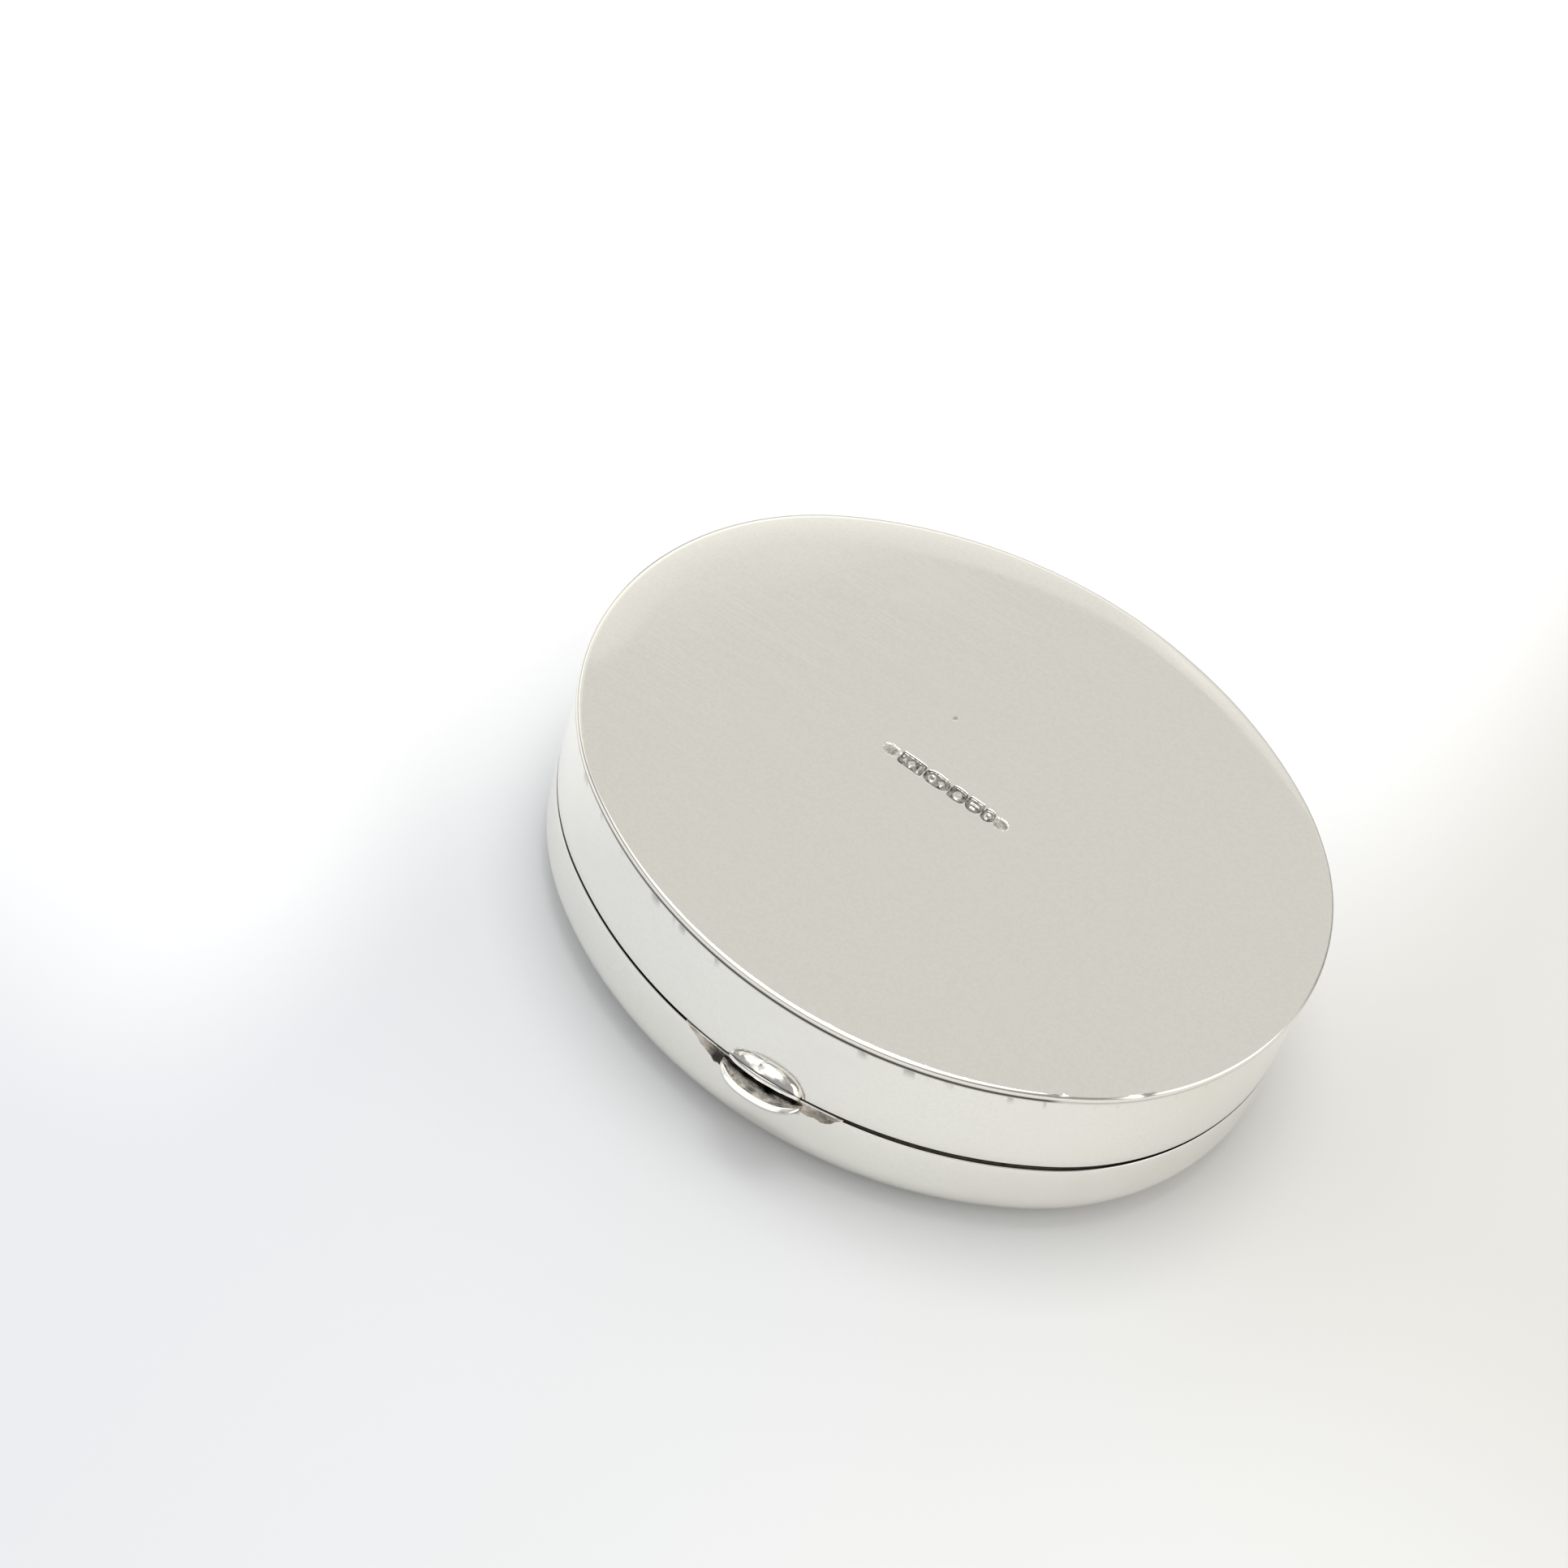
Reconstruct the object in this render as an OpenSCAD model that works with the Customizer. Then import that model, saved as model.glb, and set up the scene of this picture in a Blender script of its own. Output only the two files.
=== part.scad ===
// Oval silver pill box, lying closed and upside down on its domed lid.
// Origin: centre of the lid's flat resting face. +Z up to the base plate, +X along the oval,
// -Y towards the thumb-piece, +Y towards the hinge.

/* [Box] */
// Length of the walls, outside
wall_length = 44.8; // [43:0.1:48]
// Width of the walls, outside
wall_width = 37.2; // [36:0.1:38]
// Radius of the two end arcs of the oval
end_radius = 16.7; // [16:0.1:17.2]
// Height of the body, from the seam to the face of the base plate
body_height = 7.1; // [6:0.1:10]
// Height of the lid, from the seam to its resting face
lid_height = 6.2; // [6:0.1:6.6]
// Straight part of the lid's wall
lid_band = 3.2; // [2.8:0.1:3.2]
// Radius of the lid's rounded edge
lid_edge_radius = 2.7; // [2.4:0.1:2.7]
// Width of the domed band round the lid's flat resting face
dome_width = 10; // [8:0.5:12]

/* [Sheet] */
// Thickness of the body's wall
wall_thickness = 0.5; // [0.4:0.05:0.6]
// Thickness of the pressed lid
lid_thickness = 0.4; // [0.35:0.05:0.4]
// Thickness of the base plate
plate_thickness = 0.45; // [0.4:0.05:0.6]
// How far the base plate stands out past the wall
plate_overhang = 0.12; // [0.05:0.01:0.2]
// Open line between the edges of the body and the lid
seam_gap = 0.1; // [0.06:0.01:0.14]
// Depth of the blank punch marks in the base plate
punch_depth = 0.07; // [0.04:0.01:0.1]

/* [Inner rim] */
// Thickness of the rim inside the body that locates the lid
rim_thickness = 0.35; // [0.3:0.05:0.5]
// How far the rim reaches into the lid
rim_reach = 1.0; // [0.6:0.1:1.5]
// How far the rim is soldered up inside the body
rim_seat = 1.6; // [1:0.1:2.5]

/* [Thumb-piece] */
// Distance of the thumb-piece from the middle of the front
thumb_shift = 0.3; // [0:0.1:1]
// Half the length of the lid's half, along the wall
lid_thumb_half = 2.5; // [2:0.1:3]
// How far the lid's half stands out
lid_thumb_reach = 1.6; // [1.2:0.1:2]
// Half the length of the body's half, along the wall
body_thumb_half = 2.27; // [1.8:0.01:2.5]
// How far the body's half stands out
body_thumb_reach = 0.72; // [0.6:0.01:0.9]
// Height of the body's half above the seam
body_thumb_height = 1.4; // [1.2:0.1:1.7]

/* [Hinge] */
// Length of the barrel
hinge_length = 10; // [9:0.5:11]
// Outside radius of the knuckles
knuckle_radius = 0.8; // [0.75:0.01:0.82]
// Radius of the hinge pin
pin_radius = 0.36; // [0.3:0.01:0.4]
// Depth of the hinge axis inside the wall's outer face
axis_depth = 0.55; // [0.5:0.01:0.6]

/* [Hidden] */

$fn = 128;
seam_z = lid_height;
top_z = lid_height + body_height;
half_gap = seam_gap / 2;

// The oval has two end arcs and two side arcs that meet on a common tangent
end_x = wall_length / 2 - end_radius;
side_radius = (end_x * end_x + pow(wall_width / 2, 2) - pow(end_radius, 2))
              / (wall_width - 2 * end_radius);
side_y = side_radius - wall_width / 2;
meet = [end_x, side_y] / (side_radius - end_radius);
far = 3 * side_radius;

// The lid's shallow dome slopes from its rounded edge, on a common tangent, to its flat face
dome_drop = lid_height - lid_band;
dome_slope = atan2(dome_drop, dome_width - lid_edge_radius)
             - asin(lid_edge_radius / norm([dome_width - lid_edge_radius, dome_drop]));

front_y = -wall_width / 2;
axis_y = wall_width / 2 - axis_depth;
notch_height = knuckle_radius + 0.1;
notch_half = hinge_length / 2 + 0.1;
bearer_face = 0.9;
bearer_plate = 0.45;
bearer_height = 1.5;
knuckle_gap = 0.06;
knuckle_pitch = hinge_length / 5;
bore_radius = pin_radius + 0.03;

silver = [0.86, 0.85, 0.82];
satin_silver = [0.78, 0.77, 0.74];
bright_silver = [0.93, 0.92, 0.89];
tarnish = [0.52, 0.46, 0.40];
steel = [0.66, 0.66, 0.68];

// ---- outline of the oval ----

// The wedge of each arc, seen from that arc's centre: the arcs meet in the direction of meet
module end_wedge() { polygon([[0, 0], far * [meet[0], -meet[1]], [2 * far, 0], far * meet]); }
module side_wedge() { polygon([[0, 0], far * meet, [0, 2 * far], far * [-meet[0], meet[1]]]); }

// The oval, drawn in from the wall's outer face by the given distance
module oval(inset = 0) {
    for (turn = [0, 180]) rotate(turn) {
        translate([end_x, 0]) intersection() {
            circle(r = end_radius - inset);
            end_wedge();
        }
        translate([0, -side_y]) intersection() {
            circle(r = side_radius - inset);
            side_wedge();
        }
    }
}

module oval_plate(inset, low, high) {
    translate([0, 0, low]) linear_extrude(high - low) oval(inset);
}

module oval_wall(outer_inset, inner_inset, low, high) {
    translate([0, 0, low]) linear_extrude(high - low) difference() {
        oval(outer_inset);
        oval(inner_inset);
    }
}

// Carries a section round the oval: its x is the distance out from the wall's outer face
module round_oval() {
    for (turn = [0, 180]) rotate(turn) {
        translate([end_x, 0, 0]) intersection() {
            rotate_extrude() translate([end_radius, 0]) children();
            linear_extrude(top_z + 1) end_wedge();
        }
        translate([0, -side_y, 0]) intersection() {
            rotate_extrude() translate([side_radius, 0]) children();
            linear_extrude(top_z + 1) side_wedge();
        }
    }
}

// The wall's outer face along the front, as a solid to cut against
module front_wall_core(extra = 0) {
    translate([0, side_y, -1]) cylinder(r = side_radius + extra, h = top_z + 2, $fn = 256);
}

// ---- lid ----

// Section of the lid's outside, shrunk by the given thickness: band, rounded edge and gentle slope
module lid_section(inset) {
    edge = lid_edge_radius - inset;
    centre = [-lid_edge_radius, dome_drop];
    tangent = centre + edge * [sin(dome_slope), -cos(dome_slope)];
    translate([-dome_width, dome_drop]) square([dome_width - inset, lid_band]);
    intersection() {
        translate(centre) circle(r = edge);
        translate([tangent[0], 0]) square([dome_width, dome_drop]);
    }
    polygon([[-dome_width, inset], [-dome_width + inset * tan(dome_slope / 2), inset],
             tangent, [tangent[0], dome_drop], [-dome_width, dome_drop]]);
}

module hinge_notch() {
    translate([-notch_half, axis_y - notch_height, seam_z - notch_height])
        cube([2 * notch_half, notch_height + 3, 2 * notch_height]);
}

module lid_shell() {
    color(silver) difference() {
        union() {
            round_oval() intersection() {
                difference() {
                    lid_section(0);
                    lid_section(lid_thickness);
                }
                translate([-dome_width, 0]) square([dome_width, seam_z - half_gap]);
            }
            oval_plate(dome_width, 0, lid_thickness);
        }
        hinge_notch();
    }
}

// The lid's half of the thumb-piece is a shelf with a dished face, a thin lip and a sloping back
thumb_radius = (pow(lid_thumb_half, 2) + pow(lid_thumb_reach, 2)) / (2 * lid_thumb_reach);
thumb_y = front_y + thumb_radius - lid_thumb_reach;
lip_height = 0.35;
slope_height = 0.95;
slope_radius = thumb_radius - 0.85;
dish_radius = thumb_radius - 0.3;
dish_depth = 0.16;
dish_sphere = (pow(dish_radius, 2) + pow(dish_depth, 2)) / (2 * dish_depth);

module thumb_shelf_blank() {
    translate([thumb_shift, thumb_y, seam_z - half_gap - lip_height]) {
        cylinder(r = thumb_radius, h = lip_height);
        translate([0, 0, -slope_height])
            cylinder(r1 = slope_radius, r2 = thumb_radius, h = slope_height);
    }
}

module lid_thumb_piece() {
    color(bright_silver) difference() {
        thumb_shelf_blank();
        translate([thumb_shift, thumb_y, seam_z - half_gap + dish_sphere - dish_depth])
            sphere(r = dish_sphere, $fn = 200);
        front_wall_core();
    }
}

// Solder that ran out along the lid's edge on each side of the thumb-piece
solder_thickness = 0.06;

module thumb_solder(outline) {
    color(tarnish) difference() {
        intersection() {
            translate([0, front_y + 2, seam_z - half_gap]) rotate([90, 0, 0])
                linear_extrude(4) polygon(outline);
            front_wall_core(solder_thickness);
        }
        front_wall_core();
        thumb_shelf_blank();
    }
}

module thumb_solder_left() {
    thumb_solder([[-5.1, 0], [-4.5, -0.35], [-3.4, -1.1], [-2.5, -1.45], [-1.2, -1.3], [-1.2, 0]]);
}

module thumb_solder_right() {
    thumb_solder([[1.8, 0], [1.8, -1.1], [3.2, -1.05], [4.4, -1.1], [4.7, -0.5], [5.2, 0]]);
}

// ---- body ----

module body_wall() {
    color(silver) difference() {
        oval_wall(0, wall_thickness, seam_z + half_gap, top_z - plate_thickness);
        hinge_notch();
    }
}

plate_round = 0.1;
plate_band = 2;

// Blank marks in a line along the plate: no letters or signs
mark_pitch = 1.2;
mark_size = 0.8;

module punch_mark(kind) {
    half = mark_size / 2;
    if (kind == 0) circle(r = half * 0.8, $fn = 48);
    if (kind == 1) square([mark_size * 1.2, mark_size], center = true);
    if (kind == 2) difference() {
        square(mark_size, center = true);
        circle(r = half * 0.55, $fn = 48);
    }
    if (kind == 3) union() {
        translate([0, half / 2]) square([mark_size, half], center = true);
        intersection() {
            circle(r = half, $fn = 48);
            translate([0, -half / 2]) square([mark_size, half], center = true);
        }
    }
}

module base_plate() {
    marks = [0, 1, 3, 2, 3, 0, 1];
    color(satin_silver) difference() {
        union() {
            round_oval() translate([plate_overhang, top_z]) {
                translate([-plate_band, -plate_thickness])
                    square([plate_band - plate_round, plate_thickness]);
                translate([-plate_band, -plate_thickness])
                    square([plate_band, plate_thickness - plate_round]);
                translate([-plate_round, -plate_round]) circle(r = plate_round, $fn = 48);
            }
            oval_plate(plate_band / 2, top_z - plate_thickness, top_z);
        }
        for (i = [0 : len(marks) - 1])
            translate([(i - 3.6) * mark_pitch, 0, top_z - punch_depth])
                linear_extrude(1) punch_mark(marks[i]);
    }
}

rim_end = notch_half + 0.9;

module inner_rim() {
    color(silver) difference() {
        oval_wall(wall_thickness, wall_thickness + rim_thickness,
                  seam_z - rim_reach, seam_z + rim_seat);
        translate([-rim_end, 0, 0]) cube([2 * rim_end, wall_width, top_z]);
    }
}

// The body's half of the thumb-piece is an arched lug with an undercut front
lug_radius = (pow(body_thumb_half, 2) + pow(body_thumb_reach, 2)) / (2 * body_thumb_reach);
arch_height = body_thumb_height - 0.2;
arch_radius = (pow(body_thumb_half, 2) + pow(arch_height, 2)) / (2 * arch_height);
arch_slope = 20;
undercut_slope = 30;

module body_thumb_piece() {
    color(bright_silver) difference() {
        intersection() {
            translate([thumb_shift, front_y + lug_radius - body_thumb_reach, seam_z])
                cylinder(r = lug_radius, h = 3);
            translate([thumb_shift, front_y, seam_z + body_thumb_height]) rotate([90 + arch_slope, 0, 0])
                translate([0, -arch_radius, -2]) cylinder(r = arch_radius, h = 6);
            translate([-5, front_y + 0.2, seam_z + half_gap]) rotate([-undercut_slope, 0, 0])
                translate([0, -4, 0]) cube([10, 6, 4]);
        }
        front_wall_core();
    }
}

// ---- hinge ----

// A bearer closes the notch from inside and carries its side's knuckles; up is +1 or -1
module bearer(inner_face, up) {
    low = half_gap;
    translate([0, 0, seam_z]) mirror([0, 0, up > 0 ? 0 : 1]) difference() {
        intersection() {
            translate([-notch_half - bearer_plate, axis_y - bearer_face - bearer_plate, low])
                cube([2 * (notch_half + bearer_plate), 4, bearer_height - low]);
            translate([0, -side_y, 0]) cylinder(r = side_radius - inner_face, h = top_z, $fn = 256);
        }
        translate([-notch_half, axis_y - bearer_face, -1])
            cube([2 * notch_half, 4, notch_height + 1]);
    }
}

// One knuckle: a tube round the pin and a web to its side's bearer; slot counts from the left
module knuckle(slot, up) {
    width = knuckle_pitch - knuckle_gap;
    translate([(slot - 2) * knuckle_pitch - width / 2, axis_y, seam_z])
        mirror([0, 0, up > 0 ? 0 : 1]) rotate([90, 0, 90]) difference() {
            union() {
                cylinder(r = knuckle_radius, h = width, $fn = 64);
                translate([-bearer_face, half_gap * 2, 0])
                    cube([bearer_face, notch_height - half_gap * 2, width]);
            }
            translate([0, 0, -1]) cylinder(r = bore_radius, h = width + 2, $fn = 48);
        }
}

module lid_hinge_bearer() { color(satin_silver) bearer(lid_thickness, -1); }
module body_hinge_bearer() { color(satin_silver) bearer(wall_thickness, 1); }
module lid_knuckle_left() { color(silver) knuckle(1, -1); }
module lid_knuckle_right() { color(silver) knuckle(3, -1); }
module body_knuckle_left() { color(silver) knuckle(0, 1); }
module body_knuckle_centre() { color(silver) knuckle(2, 1); }
module body_knuckle_right() { color(silver) knuckle(4, 1); }

module hinge_pin() {
    pin_length = hinge_length - knuckle_gap;
    color(steel) translate([-pin_length / 2, axis_y, seam_z]) rotate([0, 90, 0])
        cylinder(r = pin_radius, h = pin_length, $fn = 48);
}

lid_shell();
lid_thumb_piece();
thumb_solder_left();
thumb_solder_right();
lid_hinge_bearer();
lid_knuckle_left();
lid_knuckle_right();
body_wall();
base_plate();
inner_rim();
body_thumb_piece();
body_hinge_bearer();
body_knuckle_left();
body_knuckle_centre();
body_knuckle_right();
hinge_pin();
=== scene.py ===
"""Looks of the oval silver pill box, closed and upside down on its lid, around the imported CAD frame."""

import math

import bmesh
import bpy
from mathutils import Matrix, Vector, noise
from mathutils.geometry import delaunay_2d_cdt


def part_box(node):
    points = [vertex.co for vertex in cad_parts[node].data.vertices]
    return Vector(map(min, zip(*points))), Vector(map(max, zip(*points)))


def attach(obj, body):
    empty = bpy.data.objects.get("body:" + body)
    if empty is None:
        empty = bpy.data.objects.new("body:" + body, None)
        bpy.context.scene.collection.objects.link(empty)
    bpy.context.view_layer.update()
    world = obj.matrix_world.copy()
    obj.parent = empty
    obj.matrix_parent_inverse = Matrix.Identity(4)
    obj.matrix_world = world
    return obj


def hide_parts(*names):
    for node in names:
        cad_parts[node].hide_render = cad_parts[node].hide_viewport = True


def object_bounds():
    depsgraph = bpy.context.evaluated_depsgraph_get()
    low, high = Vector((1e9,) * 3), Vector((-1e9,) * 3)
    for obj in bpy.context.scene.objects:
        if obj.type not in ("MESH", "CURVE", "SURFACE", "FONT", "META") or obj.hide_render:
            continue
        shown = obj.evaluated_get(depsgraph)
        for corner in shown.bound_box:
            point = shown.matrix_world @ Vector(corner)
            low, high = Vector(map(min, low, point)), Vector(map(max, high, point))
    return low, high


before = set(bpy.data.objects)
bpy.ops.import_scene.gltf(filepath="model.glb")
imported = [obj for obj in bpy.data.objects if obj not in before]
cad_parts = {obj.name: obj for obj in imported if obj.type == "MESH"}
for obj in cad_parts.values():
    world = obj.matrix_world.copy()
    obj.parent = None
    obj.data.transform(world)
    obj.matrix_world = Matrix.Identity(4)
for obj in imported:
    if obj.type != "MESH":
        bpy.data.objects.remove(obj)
CAD_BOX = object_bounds()
MM = 0.001

# ---- sizes that the frame gives, in millimetres ----


def box_mm(node):
    low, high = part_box(node)
    return low / MM, high / MM


WALL_LOW, WALL_HIGH = box_mm("body_wall")
PLATE_LOW, PLATE_HIGH = box_mm("base_plate")
LID_HIGH = box_mm("lid_shell")[1]
RIM_LOW, RIM_HIGH = box_mm("inner_rim")
PIN_LOW, PIN_HIGH = box_mm("hinge_pin")
SHELF_LOW, SHELF_HIGH = box_mm("lid_thumb_piece")
LUG_LOW, LUG_HIGH = box_mm("body_thumb_piece")
SEAM = (WALL_LOW.z + LID_HIGH.z) / 2
TOP = PLATE_HIGH.z
OVERHANG = PLATE_HIGH.x - WALL_HIGH.x
AXIS_Y = (PIN_LOW.y + PIN_HIGH.y) / 2
PIN_RADIUS = (PIN_HIGH.z - PIN_LOW.z) / 2

# ---- sizes of the sheet metal, in millimetres ----

END_RADIUS = 16.7
WALL_THICKNESS = 0.5
LID_THICKNESS = 0.4
LID_EDGE_RADIUS = 2.7
LID_EDGE_DROP = 3.0
DOME_WIDTH = 10.0
NOTCH_HALF = 5.15
NOTCH_HEIGHT = 0.9
EDGE_ROUND = 0.06
RING_POINTS = 720
OUTLINE_STEPS = 4000  # how finely the outline is measured when points are spread along it
UNEVEN = 0.006  # how far the hand-raised walls wander in and out
UNEVEN_SIZE = 7.0  # and over what length


class Oval:
    """The wall's outer outline: two end arcs and two side arcs on common tangents."""

    def __init__(self, half_length, half_width, end_radius):
        self.end_x = half_length - end_radius
        self.end_radius = end_radius
        self.side_radius = (self.end_x ** 2 + half_width ** 2 - end_radius ** 2) / (
            2 * (half_width - end_radius))
        self.side_y = self.side_radius - half_width
        self.turn = math.atan2(self.side_y, self.end_x)

    def at(self, angle, out):
        """The point at a distance out from the outline, where its normal points along angle."""
        cos, sin = math.cos(angle), math.sin(angle)
        if abs(sin) <= math.sin(self.turn):
            reach, x, y = self.end_radius + out, math.copysign(self.end_x, cos), 0.0
        else:
            reach, x, y = self.side_radius + out, 0.0, -math.copysign(self.side_y, sin)
        return x + reach * cos, y + reach * sin

    def angles(self, count, start=0.0, stop=2 * math.pi):
        """Normal angles from start to stop, with about even steps along the outline."""
        fine = [start + (stop - start) * i / OUTLINE_STEPS for i in range(OUTLINE_STEPS + 1)]
        points = [Vector(self.at(a, 0)) for a in fine]
        lengths = [0.0]
        for a, b in zip(points, points[1:]):
            lengths.append(lengths[-1] + (b - a).length)
        result, k = [], 0
        for i in range(count):
            goal = lengths[-1] * i / count
            while lengths[k + 1] < goal:
                k += 1
            share = (goal - lengths[k]) / (lengths[k + 1] - lengths[k])
            result.append(fine[k] + share * (fine[k + 1] - fine[k]))
        return result

    def front(self, x, out):
        """A point on the front side arc at x, a distance out from the wall."""
        angle = math.acos(x / self.side_radius)
        return self.at(-angle, out)


OVAL = Oval(WALL_HIGH.x, WALL_HIGH.y, END_RADIUS)

# ---- small helpers ----


def clamp(value, low=0.0, high=1.0):
    return max(low, min(high, value))


def smooth(low, high, value):
    """0 below low, 1 above high, and a smooth step between."""
    t = clamp((value - low) / (high - low))
    return t * t * (3 - 2 * t)


def mix(a, b, share):
    return a + (b - a) * share


def table(knots, x):
    """A value read off a list of (x, value) knots, with straight lines between them."""
    if x <= knots[0][0]:
        return knots[0][1]
    for (xa, a), (xb, b) in zip(knots, knots[1:]):
        if x <= xb:
            return mix(a, b, (x - xa) / (xb - xa))
    return knots[-1][1]


def rough_noise(x, y, z, size):
    """Noise from -1 to 1 with three sizes of lump."""
    p = Vector((x, y, z)) / size
    return noise.noise(p) + 0.5 * noise.noise(p * 2.1) + 0.25 * noise.noise(p * 4.3)


def arc(centre, radius, start, stop, count):
    """Points of an arc in a section, from start to stop in degrees."""
    points = []
    for i in range(count + 1):
        a = math.radians(start + (stop - start) * i / count)
        points.append((centre[0] + radius * math.cos(a), centre[1] + radius * math.sin(a)))
    return points


def line(start, stop, count):
    """Points from start towards stop, without either end."""
    shares = [i / count for i in range(1, count)]
    return [(mix(start[0], stop[0], s), mix(start[1], stop[1], s)) for s in shares]


def new_piece(name, points, faces, body, nodes, material, wear_and_shade, smooth_angle=35):
    """A closed mesh from points in millimetres that rides on a body and stands for the named CAD nodes.

    wear_and_shade gives each point (dark, brown, polish), from 0 to 1, for its material: dark is mostly
    painted shade in seams, creases and under overhangs, and brown is tarnish. Edges that turn by more than
    smooth_angle, in degrees, stay sharp.
    """
    mesh = bpy.data.meshes.new(name)
    mesh.from_pydata([tuple(c * MM for c in p) for p in points], [], faces)
    shape = bmesh.new()
    shape.from_mesh(mesh)
    bmesh.ops.recalc_face_normals(shape, faces=shape.faces)
    shape.to_mesh(mesh)
    shape.free()
    mesh.polygons.foreach_set("use_smooth", [True] * len(mesh.polygons))
    mesh.set_sharp_from_angle(angle=math.radians(smooth_angle))
    attribute = mesh.color_attributes.new("wear_and_shade", "FLOAT_COLOR", "POINT")
    attribute.data.foreach_set("color", [c for w in wear_and_shade for c in (*w, 1.0)])
    mesh.materials.append(material)
    piece = bpy.data.objects.new(name, mesh)
    bpy.context.scene.collection.objects.link(piece)
    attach(piece, body)
    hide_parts(*nodes)
    return piece


def ring_faces(rings, size, closed_ring=True, closed_section=True):
    """Quads between successive sections of size points each."""
    faces = []
    for i in range(rings if closed_ring else rings - 1):
        j = (i + 1) % rings
        for k in range(size if closed_section else size - 1):
            m = (k + 1) % size
            faces.append((i * size + k, i * size + m, j * size + m, j * size + k))
    return faces


def capped(rings, size):
    """Faces of a closed tube whose two ends are closed by one face each."""
    faces = ring_faces(rings, size, closed_ring=False)
    faces.append(tuple(range(size)))
    faces.append(tuple(reversed(range((rings - 1) * size, rings * size))))
    return faces


def swept(sections, uneven=0.0):
    """Points of a list of (angle, [(out, z), ...]) sections round the oval."""
    points = []
    for angle, section in sections:
        for out, z in section:
            x, y = OVAL.at(angle, out)
            if uneven:
                push = uneven * noise.noise(Vector((x, y, z * 0.6)) / UNEVEN_SIZE)
                x, y = OVAL.at(angle, out + push)
            points.append((x, y, z))
    return points


def notched_angles(count):
    """Angles in the hinge notch at the back, and round the rest of the oval."""
    edge = math.asin(NOTCH_HALF / (OVAL.side_radius - WALL_THICKNESS))
    right, left = math.pi / 2 - edge, math.pi / 2 + edge
    inside = OVAL.angles(count // 12, right, left) + [left]
    outside = OVAL.angles(count, left, right + 2 * math.pi) + [right + 2 * math.pi]
    return inside, outside


GAP_EXTRA = 0.13
GAP_WORN = 0.19
GAP_OPENS = (262, 292)  # degrees round the oval
GAP_CLOSES = (305, 350)


def gap_opening(angle):
    """How much wider than its CAD gap the seam looks here: it is worn open at the front right."""
    turn = math.degrees(angle) % 360
    return GAP_EXTRA + GAP_WORN * smooth(*GAP_OPENS, turn) * (1 - smooth(*GAP_CLOSES, turn))


# ---- materials ----


RAMP_SOCKETS = ("From Min", "From Max", "To Min", "To Max")


class Nodes:
    """A short way to write a material's node tree."""

    def __init__(self, name):
        self.material = bpy.data.materials.new(name)
        self.material.use_nodes = True
        self.tree = self.material.node_tree
        self.shader = self.tree.nodes["Principled BSDF"]
        self.place = self.add("ShaderNodeTexCoord").outputs["Object"]

    def add(self, kind, **settings):
        node = self.tree.nodes.new(kind)
        for key, value in settings.items():
            setattr(node, key, value)
        return node

    def link(self, source, target):
        self.tree.links.new(source, target)

    def wear_and_shade(self):
        """The piece's dark share, mostly painted shade, and its brown and polish shares."""
        attribute = self.add("ShaderNodeAttribute", attribute_name="wear_and_shade")
        split = self.add("ShaderNodeSeparateColor")
        self.link(attribute.outputs["Color"], split.inputs["Color"])
        return split.outputs

    def noise(self, size_mm, detail=3.0, rough=0.55, stretch=(1, 1, 1), turn=(0, 0, 0)):
        """Noise with features of about size_mm."""
        mapping = self.add("ShaderNodeMapping")
        mapping.inputs["Rotation"].default_value = [math.radians(t) for t in turn]
        mapping.inputs["Scale"].default_value = [s / (size_mm * MM) for s in stretch]
        self.link(self.place, mapping.inputs["Vector"])
        texture = self.add("ShaderNodeTexNoise")
        texture.inputs["Scale"].default_value = 1.0
        texture.inputs["Detail"].default_value = detail
        texture.inputs["Roughness"].default_value = rough
        self.link(mapping.outputs["Vector"], texture.inputs["Vector"])
        return texture.outputs["Fac"]

    def ramp(self, source, low, high, out_low=0.0, out_high=1.0):
        """out_low below low, out_high above high, and a smooth step between."""
        node = self.add("ShaderNodeMapRange", interpolation_type="SMOOTHSTEP")
        for name, value in zip(RAMP_SOCKETS, (low, high, out_low, out_high)):
            node.inputs[name].default_value = value
        self.link(source, node.inputs["Value"])
        return node.outputs["Result"]

    def maths(self, operation, a, b):
        node = self.add("ShaderNodeMath", operation=operation)
        for socket, value in zip(node.inputs, (a, b)):
            if isinstance(value, (int, float)):
                socket.default_value = value
            else:
                self.link(value, socket)
        return node.outputs["Value"]

    def mix(self, factor, a, b):
        node = self.add("ShaderNodeMix", data_type="RGBA")
        for socket, value in ((node.inputs[0], factor), (node.inputs[6], a), (node.inputs[7], b)):
            if isinstance(value, tuple):
                socket.default_value = (*value, 1.0)
            else:
                self.link(value, socket)
        return node.outputs[2]

    def bump(self, height, depth_mm, normal=None):
        node = self.add("ShaderNodeBump")
        node.inputs["Strength"].default_value = 1.0
        node.inputs["Distance"].default_value = depth_mm * MM
        self.link(height, node.inputs["Height"])
        if normal is not None:
            self.link(normal, node.inputs["Normal"])
        return node.outputs["Normal"]


SILVER_TINT = (0.90, 0.888, 0.838)
SILVER_STAIN = (0.70, 0.65, 0.58)
BROWN = (0.44, 0.35, 0.26)
PALE_BROWN = (0.95, 0.90, 0.81)
BLACK = (0.025, 0.022, 0.018)
MOTTLING = 0.30
BROWN_METALLIC = 0.20  # tarnish hides the metal
BROWN_ROUGHNESS = 0.4
HAIR_TURNS = (12, 71, 133)  # degrees
HAIR_DEPTH = 0.0004  # this and the two below in millimetres
PEEL_SIZE, PEEL_DEPTH = 1.6, 0.0012
GRAIN_SIZE = 0.12


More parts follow.
